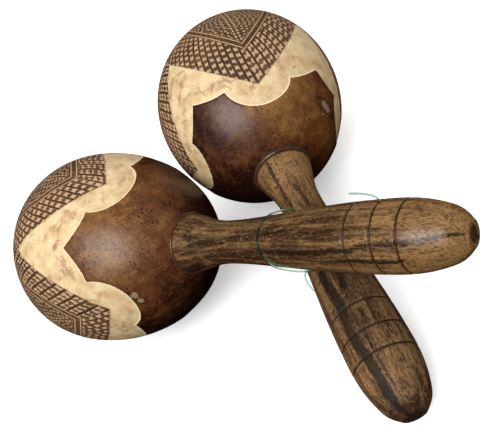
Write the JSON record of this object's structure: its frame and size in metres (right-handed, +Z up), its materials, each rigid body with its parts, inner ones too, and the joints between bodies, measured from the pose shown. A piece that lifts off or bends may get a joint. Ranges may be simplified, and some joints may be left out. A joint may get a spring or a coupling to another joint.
{
  "type": "pair of gourd maracas",
  "caption": "Pair of gourd maracas lying crossed: hollow carved gourds with loose seeds inside, each glued on a turned wooden handle, with a thin nylon tie round the crossing.",
  "frame": {"origin": "middle of the pair's footprint, on the surface that it lies on", "axes": "+Z up, +Y along the pair's length, from the butts of the handles towards the gourds"},
  "size_m": [0.1663, 0.1858, 0.081],
  "materials": {
    "gourd_skin": "carved and varnished, glossy brown skin with cream scraped bands",
    "handle_wood": "varnished, dark streaked grain",
    "glue": "glossy hardened glue",
    "thread": "green translucent nylon",
    "seed": "dry and matt"
  },
  "bodies": {
    "lower_maraca": {"lower_gourd": "gourd_skin", "lower_handle": "handle_wood", "lower_glue_bead": "glue"},
    "upper_maraca": {"upper_gourd": "gourd_skin", "upper_handle": "handle_wood", "upper_glue_bead": "glue", "tie_thread": "thread"},
    "lower_seed_01": {"lower_seed_01": "seed"},
    "lower_seed_02": {"lower_seed_02": "seed"},
    "lower_seed_03": {"lower_seed_03": "seed"},
    "lower_seed_04": {"lower_seed_04": "seed"},
    "lower_seed_05": {"lower_seed_05": "seed"},
    "lower_seed_06": {"lower_seed_06": "seed"},
    "lower_seed_07": {"lower_seed_07": "seed"},
    "lower_seed_08": {"lower_seed_08": "seed"},
    "lower_seed_09": {"lower_seed_09": "seed"},
    "lower_seed_10": {"lower_seed_10": "seed"},
    "lower_seed_11": {"lower_seed_11": "seed"},
    "lower_seed_12": {"lower_seed_12": "seed"},
    "lower_seed_13": {"lower_seed_13": "seed"},
    "lower_seed_14": {"lower_seed_14": "seed"},
    "lower_seed_15": {"lower_seed_15": "seed"},
    "lower_seed_16": {"lower_seed_16": "seed"},
    "lower_seed_17": {"lower_seed_17": "seed"},
    "lower_seed_18": {"lower_seed_18": "seed"},
    "lower_seed_19": {"lower_seed_19": "seed"},
    "lower_seed_20": {"lower_seed_20": "seed"},
    "upper_seed_01": {"upper_seed_01": "seed"},
    "upper_seed_02": {"upper_seed_02": "seed"},
    "upper_seed_03": {"upper_seed_03": "seed"},
    "upper_seed_04": {"upper_seed_04": "seed"},
    "upper_seed_05": {"upper_seed_05": "seed"},
    "upper_seed_06": {"upper_seed_06": "seed"},
    "upper_seed_07": {"upper_seed_07": "seed"},
    "upper_seed_08": {"upper_seed_08": "seed"},
    "upper_seed_09": {"upper_seed_09": "seed"},
    "upper_seed_10": {"upper_seed_10": "seed"},
    "upper_seed_11": {"upper_seed_11": "seed"},
    "upper_seed_12": {"upper_seed_12": "seed"},
    "upper_seed_13": {"upper_seed_13": "seed"},
    "upper_seed_14": {"upper_seed_14": "seed"},
    "upper_seed_15": {"upper_seed_15": "seed"},
    "upper_seed_16": {"upper_seed_16": "seed"},
    "upper_seed_17": {"upper_seed_17": "seed"},
    "upper_seed_18": {"upper_seed_18": "seed"},
    "upper_seed_19": {"upper_seed_19": "seed"},
    "upper_seed_20": {"upper_seed_20": "seed"}
  },
  "joints": [
    {"name": "handle_swing", "type": "hinge", "parent": "lower_maraca", "child": "upper_maraca", "pos_m": [0.01641, -0.04199, 0.03], "axis": [0, 0, 1], "range_deg": [0, 60], "deforming": ["tie_thread"]},
    {"name": "lower_seed_01_hop", "type": "slide", "parent": "lower_maraca", "child": "lower_seed_01", "axis": [0, 0, 1], "range_m": [0, 0.0685]},
    {"name": "lower_seed_02_hop", "type": "slide", "parent": "lower_maraca", "child": "lower_seed_02", "axis": [0, 0, 1], "range_m": [0, 0.0682]},
    {"name": "lower_seed_03_hop", "type": "slide", "parent": "lower_maraca", "child": "lower_seed_03", "axis": [0, 0, 1], "range_m": [0, 0.0671]},
    {"name": "lower_seed_04_hop", "type": "slide", "parent": "lower_maraca", "child": "lower_seed_04", "axis": [0, 0, 1], "range_m": [0, 0.0681]},
    {"name": "lower_seed_05_hop", "type": "slide", "parent": "lower_maraca", "child": "lower_seed_05", "axis": [0, 0, 1], "range_m": [0, 0.0664]},
    {"name": "lower_seed_06_hop", "type": "slide", "parent": "lower_maraca", "child": "lower_seed_06", "axis": [0, 0, 1], "range_m": [0, 0.066]},
    {"name": "lower_seed_07_hop", "type": "slide", "parent": "lower_maraca", "child": "lower_seed_07", "axis": [0, 0, 1], "range_m": [0, 0.0672]},
    {"name": "lower_seed_08_hop", "type": "slide", "parent": "lower_maraca", "child": "lower_seed_08", "axis": [0, 0, 1], "range_m": [0, 0.065]},
    {"name": "lower_seed_09_hop", "type": "slide", "parent": "lower_maraca", "child": "lower_seed_09", "axis": [0, 0, 1], "range_m": [0, 0.0659]},
    {"name": "lower_seed_10_hop", "type": "slide", "parent": "lower_maraca", "child": "lower_seed_10", "axis": [0, 0, 1], "range_m": [0, 0.0646]},
    {"name": "lower_seed_11_hop", "type": "slide", "parent": "lower_maraca", "child": "lower_seed_11", "axis": [0, 0, 1], "range_m": [0, 0.0636]},
    {"name": "lower_seed_12_hop", "type": "slide", "parent": "lower_maraca", "child": "lower_seed_12", "axis": [0, 0, 1], "range_m": [0, 0.0661]},
    {"name": "lower_seed_13_hop", "type": "slide", "parent": "lower_maraca", "child": "lower_seed_13", "axis": [0, 0, 1], "range_m": [0, 0.0626]},
    {"name": "lower_seed_14_hop", "type": "slide", "parent": "lower_maraca", "child": "lower_seed_14", "axis": [0, 0, 1], "range_m": [0, 0.0627]},
    {"name": "lower_seed_15_hop", "type": "slide", "parent": "lower_maraca", "child": "lower_seed_15", "axis": [0, 0, 1], "range_m": [0, 0.0638]},
    {"name": "lower_seed_16_hop", "type": "slide", "parent": "lower_maraca", "child": "lower_seed_16", "axis": [0, 0, 1], "range_m": [0, 0.0617]},
    {"name": "lower_seed_17_hop", "type": "slide", "parent": "lower_maraca", "child": "lower_seed_17", "axis": [0, 0, 1], "range_m": [0, 0.0639]},
    {"name": "lower_seed_18_hop", "type": "slide", "parent": "lower_maraca", "child": "lower_seed_18", "axis": [0, 0, 1], "range_m": [0, 0.0604]},
    {"name": "lower_seed_19_hop", "type": "slide", "parent": "lower_maraca", "child": "lower_seed_19", "axis": [0, 0, 1], "range_m": [0, 0.0597]},
    {"name": "lower_seed_20_hop", "type": "slide", "parent": "lower_maraca", "child": "lower_seed_20", "axis": [0, 0, 1], "range_m": [0, 0.0634]},
    {"name": "upper_seed_01_hop", "type": "slide", "parent": "upper_maraca", "child": "upper_seed_01", "axis": [0, 0, 1], "range_m": [0, 0.0692]},
    {"name": "upper_seed_02_hop", "type": "slide", "parent": "upper_maraca", "child": "upper_seed_02", "axis": [0, 0, 1], "range_m": [0, 0.0689]},
    {"name": "upper_seed_03_hop", "type": "slide", "parent": "upper_maraca", "child": "upper_seed_03", "axis": [0, 0, 1], "range_m": [0, 0.0686]},
    {"name": "upper_seed_04_hop", "type": "slide", "parent": "upper_maraca", "child": "upper_seed_04", "axis": [0, 0, 1], "range_m": [0, 0.0679]},
    {"name": "upper_seed_05_hop", "type": "slide", "parent": "upper_maraca", "child": "upper_seed_05", "axis": [0, 0, 1], "range_m": [0, 0.0675]},
    {"name": "upper_seed_06_hop", "type": "slide", "parent": "upper_maraca", "child": "upper_seed_06", "axis": [0, 0, 1], "range_m": [0, 0.0679]},
    {"name": "upper_seed_07_hop", "type": "slide", "parent": "upper_maraca", "child": "upper_seed_07", "axis": [0, 0, 1], "range_m": [0, 0.0669]},
    {"name": "upper_seed_08_hop", "type": "slide", "parent": "upper_maraca", "child": "upper_seed_08", "axis": [0, 0, 1], "range_m": [0, 0.0665]},
    {"name": "upper_seed_09_hop", "type": "slide", "parent": "upper_maraca", "child": "upper_seed_09", "axis": [0, 0, 1], "range_m": [0, 0.0658]},
    {"name": "upper_seed_10_hop", "type": "slide", "parent": "upper_maraca", "child": "upper_seed_10", "axis": [0, 0, 1], "range_m": [0, 0.0656]},
    {"name": "upper_seed_11_hop", "type": "slide", "parent": "upper_maraca", "child": "upper_seed_11", "axis": [0, 0, 1], "range_m": [0, 0.0669]},
    {"name": "upper_seed_12_hop", "type": "slide", "parent": "upper_maraca", "child": "upper_seed_12", "axis": [0, 0, 1], "range_m": [0, 0.0647]},
    {"name": "upper_seed_13_hop", "type": "slide", "parent": "upper_maraca", "child": "upper_seed_13", "axis": [0, 0, 1], "range_m": [0, 0.064]},
    {"name": "upper_seed_14_hop", "type": "slide", "parent": "upper_maraca", "child": "upper_seed_14", "axis": [0, 0, 1], "range_m": [0, 0.0649]},
    {"name": "upper_seed_15_hop", "type": "slide", "parent": "upper_maraca", "child": "upper_seed_15", "axis": [0, 0, 1], "range_m": [0, 0.0636]},
    {"name": "upper_seed_16_hop", "type": "slide", "parent": "upper_maraca", "child": "upper_seed_16", "axis": [0, 0, 1], "range_m": [0, 0.0644]},
    {"name": "upper_seed_17_hop", "type": "slide", "parent": "upper_maraca", "child": "upper_seed_17", "axis": [0, 0, 1], "range_m": [0, 0.0621]},
    {"name": "upper_seed_18_hop", "type": "slide", "parent": "upper_maraca", "child": "upper_seed_18", "axis": [0, 0, 1], "range_m": [0, 0.062]},
    {"name": "upper_seed_19_hop", "type": "slide", "parent": "upper_maraca", "child": "upper_seed_19", "axis": [0, 0, 1], "range_m": [0, 0.0649]},
    {"name": "upper_seed_20_hop", "type": "slide", "parent": "upper_maraca", "child": "upper_seed_20", "axis": [0, 0, 1], "range_m": [0, 0.0613]}
  ]
}
